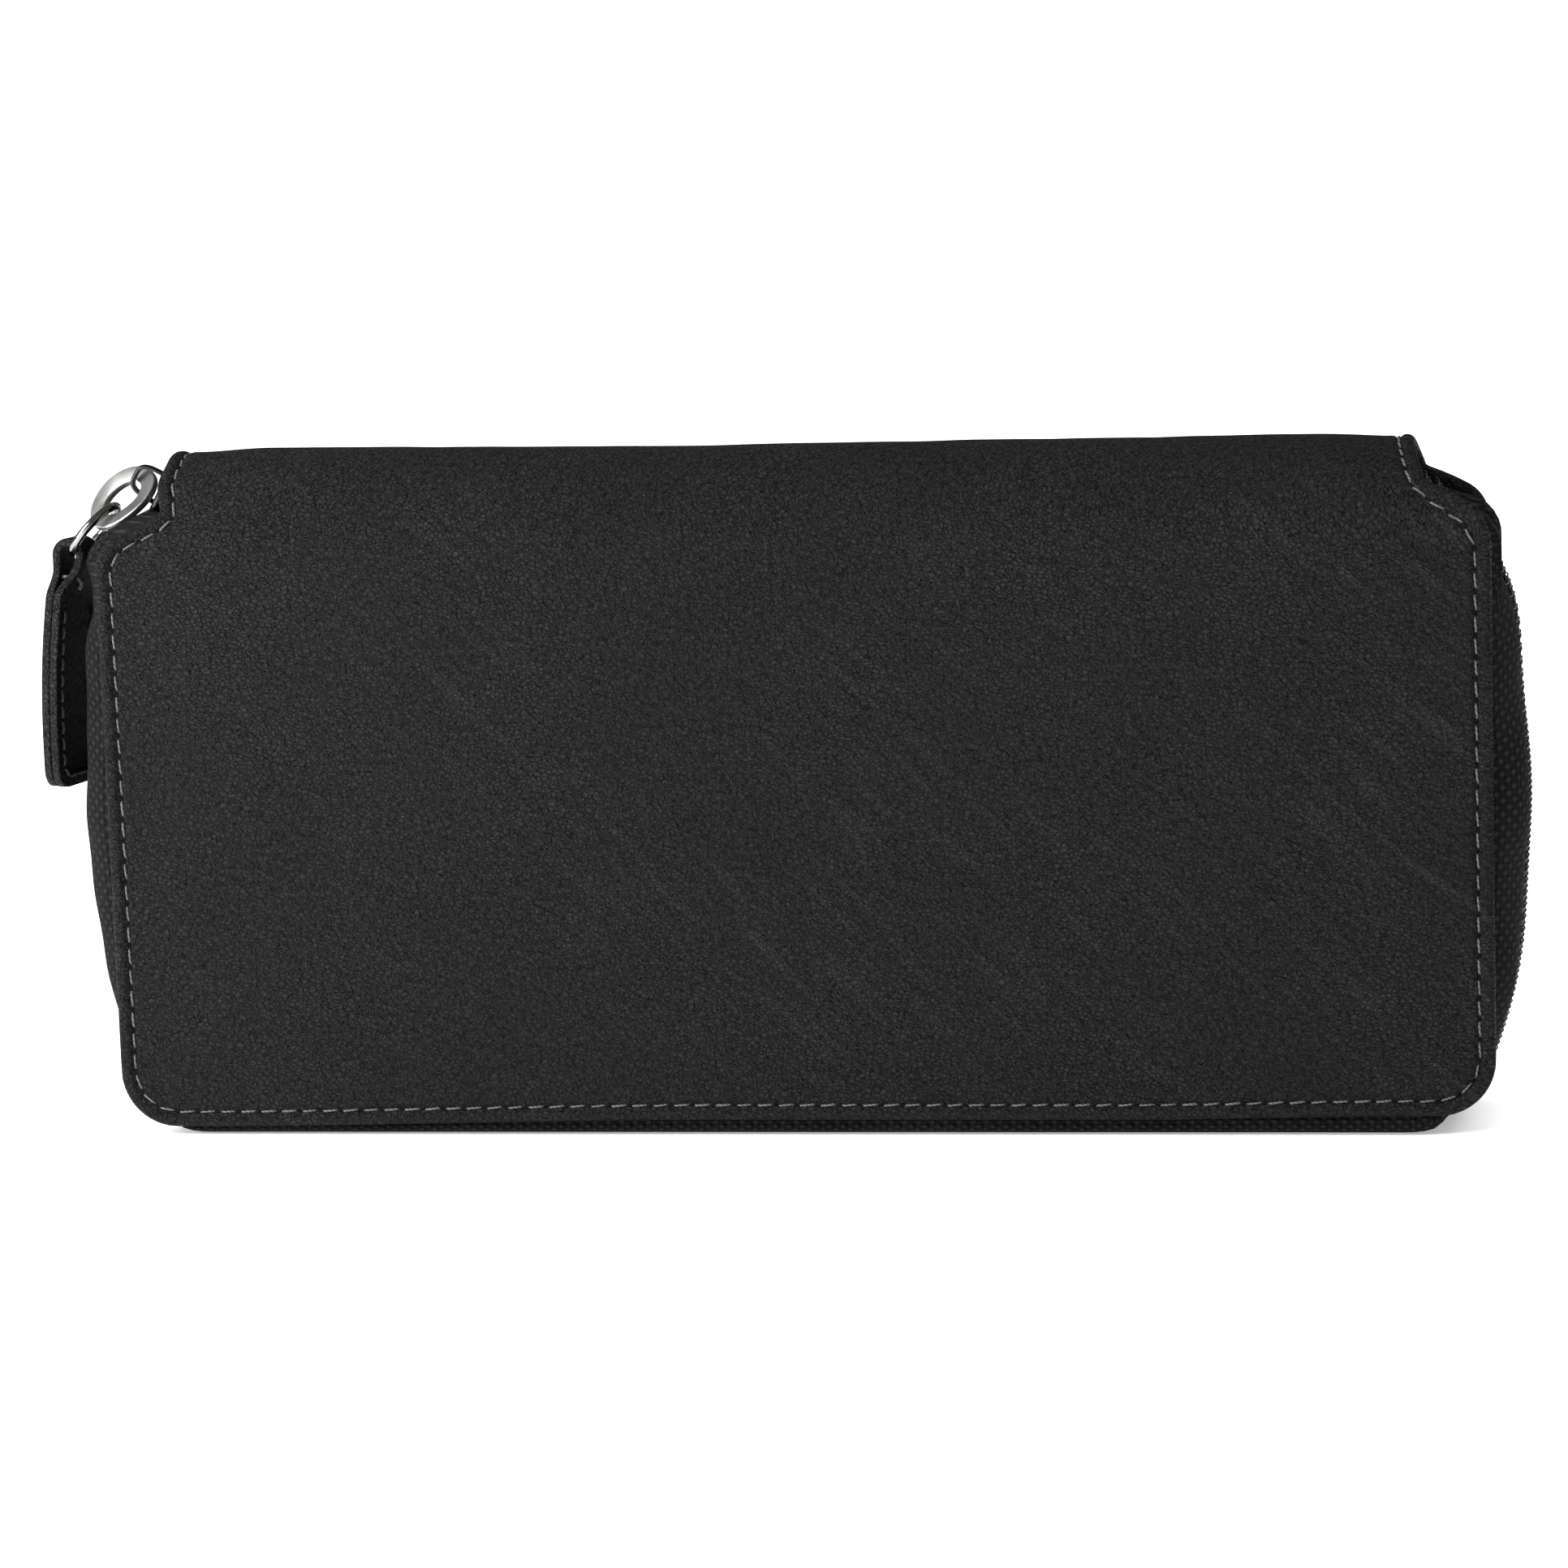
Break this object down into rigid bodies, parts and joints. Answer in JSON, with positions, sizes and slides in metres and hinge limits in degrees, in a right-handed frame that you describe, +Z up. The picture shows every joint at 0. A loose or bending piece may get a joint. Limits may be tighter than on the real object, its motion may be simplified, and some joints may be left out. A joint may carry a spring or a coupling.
{
  "type": "long wallet",
  "caption": "Zip-around long leather wallet standing on its zip edge, with card pockets, bill compartments, a zipped coin page and a hanging leather zip pull.",
  "frame": {"origin": "on the surface the wallet stands on, under the middle of the spine, on the flat of the back zip chain", "axes": "+X along the wallet, away from the end with the slider and pull; -Y is the front cover and +Y the back cover; +Z up from the zip edge to the folded spine"},
  "size_m": [0.2095, 0.026, 0.095],
  "materials": {
    "leather": "fine-grained black full-grain leather, low sheen",
    "board": "grey stiffener board",
    "lining": "black woven lining",
    "zip_tape": "black woven zip tape",
    "zip_coil": "black nylon coil",
    "satin_nickel": "satin nickel plate",
    "dark_nickel": "dark nickel wire"
  },
  "bodies": {
    "back": {"outer_back": "leather", "back_board": "board", "back_lining": "lining", "back_tape": "zip_tape", "back_chain": "zip_coil", "back_bill_pocket": "leather", "back_slot_left_1": "leather", "back_slot_left_2": "leather", "back_slot_right_1": "leather", "back_slot_right_2": "leather"},
    "spine": {"outer_spine": "leather", "spine_lining": "lining", "coin_header": "lining", "coin_wall_front": "lining", "coin_wall_back": "lining", "coin_gusset_left": "lining", "coin_gusset_right": "lining", "coin_chain_front": "zip_coil", "coin_chain_back": "zip_coil"},
    "coin_slider": {"coin_slider": "satin_nickel"},
    "coin_pull": {"coin_pull": "satin_nickel"},
    "front": {"outer_front": "leather", "front_board": "board", "front_lining": "lining", "front_tape": "zip_tape", "front_chain": "zip_coil", "front_slot_left_1": "leather", "front_slot_left_2": "leather", "front_slot_left_3": "leather", "front_slot_right_1": "leather", "front_slot_right_2": "leather", "front_slot_right_3": "leather"},
    "slider": {"slider_body": "satin_nickel", "slider_crown": "satin_nickel"},
    "pull_tab": {"pull_tab": "satin_nickel"},
    "wire_ring": {"wire_ring": "dark_nickel"},
    "leather_pull": {"leather_pull": "leather"}
  },
  "joints": [
    {"name": "back_fold", "type": "hinge", "parent": "back", "child": "spine", "pos_m": [0, 0.0109, 0.08908], "axis": [-1, 0, 0], "range_deg": [0, 90]},
    {"name": "front_fold", "type": "hinge", "parent": "spine", "child": "front", "pos_m": [0, -0.0109, 0.08908], "axis": [-1, 0, 0], "range_deg": [0, 90]},
    {"name": "slider_travel", "type": "hinge", "parent": "front", "child": "slider", "pos_m": [-0.0104, 0, 0.041], "axis": [0, -1, 0], "range_deg": [0, 25]},
    {"name": "pull_tab_swing", "type": "hinge", "parent": "slider", "child": "pull_tab", "pos_m": [-0.09144, 0, 0.09156], "axis": [0, 1, 0], "range_deg": [0, 70]},
    {"name": "wire_ring_swing", "type": "hinge", "parent": "pull_tab", "child": "wire_ring", "pos_m": [-0.09666, 0, 0.08816], "axis": [0, 1, 0], "range_deg": [0, 45]},
    {"name": "leather_pull_swing", "type": "hinge", "parent": "wire_ring", "child": "leather_pull", "pos_m": [-0.10268, 0, 0.08148], "axis": [0, 1, 0], "range_deg": [0, 90]},
    {"name": "coin_slider_travel", "type": "slide", "parent": "spine", "child": "coin_slider", "axis": [1, 0, 0], "range_m": [0, 0.148]},
    {"name": "coin_pull_swing", "type": "hinge", "parent": "coin_slider", "child": "coin_pull", "pos_m": [-0.074, 0, 0.0184], "axis": [0, 1, 0], "range_deg": [-45, 45]}
  ]
}
